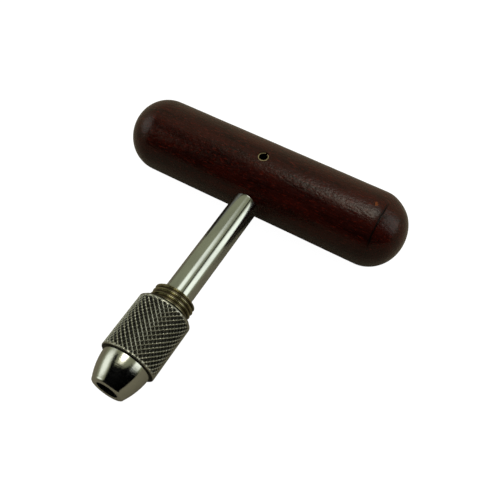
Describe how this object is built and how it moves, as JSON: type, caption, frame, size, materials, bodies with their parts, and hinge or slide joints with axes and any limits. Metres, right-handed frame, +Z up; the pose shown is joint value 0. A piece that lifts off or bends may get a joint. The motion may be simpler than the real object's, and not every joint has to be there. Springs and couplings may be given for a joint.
{
  "type": "tap wrench",
  "caption": "T-handle tap wrench: turned hardwood cross handle, steel shank, and a jaw chuck closed by screwing its knurled sleeve up a threaded brass body.",
  "frame": {"origin": "centre of the chuck's mouth, in the plane of the nose's end face, on the tool axis", "axes": "-Y out of the mouth along the tool axis, X along the handle, +Z up along the cross pin, as the tool lies on a bench"},
  "size_m": [0.0876, 0.0859, 0.0218],
  "materials": {
    "handle_wood": "dark red-brown hardwood under semi-gloss lacquer",
    "pin_steel": "yellow passivated spring steel",
    "shank_steel": "bright drawn steel, finely polished",
    "body_brass": "turned brass, dulled in the thread roots",
    "sleeve_nickel": "satin nickel plate over diamond knurling",
    "nose_nickel": "mirror-polished nickel plate",
    "jaw_steel": "hardened steel, ground",
    "spring_steel": "drawn spring wire"
  },
  "bodies": {
    "wrench": {"handle": "handle_wood", "cross_pin": "pin_steel", "shank": "shank_steel", "chuck_body": "body_brass", "jaw_spring_left": "spring_steel", "jaw_spring_right": "spring_steel"},
    "nose": {"nose_cone": "nose_nickel", "retaining_ring": "spring_steel"},
    "sleeve": {"knurled_sleeve": "sleeve_nickel"},
    "jaw_top": {"jaw_upper": "jaw_steel"},
    "jaw_bottom": {"jaw_lower": "jaw_steel"}
  },
  "joints": [
    {"name": "nose_travel", "type": "slide", "parent": "wrench", "child": "nose", "axis": [0, 1, 0], "range_m": [-0.0016, 0.0032]},
    {"name": "sleeve_turn", "type": "hinge", "parent": "nose", "child": "sleeve", "pos_m": [0, 0.0164, 0], "axis": [0, 1, 0], "range_deg": [-460.8, 921.6]},
    {"name": "jaw_top_slide", "type": "slide", "parent": "wrench", "child": "jaw_top", "axis": [0, 0, -1], "range_m": [-0.00052, 0.00104], "deforming": ["jaw_spring_left", "jaw_spring_right"]},
    {"name": "jaw_bottom_slide", "type": "slide", "parent": "wrench", "child": "jaw_bottom", "axis": [0, 0, 1], "range_m": [-0.00052, 0.00104]}
  ],
  "couplings": [
    {"joint": "nose_travel", "follows": "sleeve_turn", "m_per_rad": 0.00019894},
    {"joint": "jaw_top_slide", "follows": "sleeve_turn", "m_per_rad": 0.000064641},
    {"joint": "jaw_bottom_slide", "follows": "sleeve_turn", "m_per_rad": 0.000064641}
  ]
}
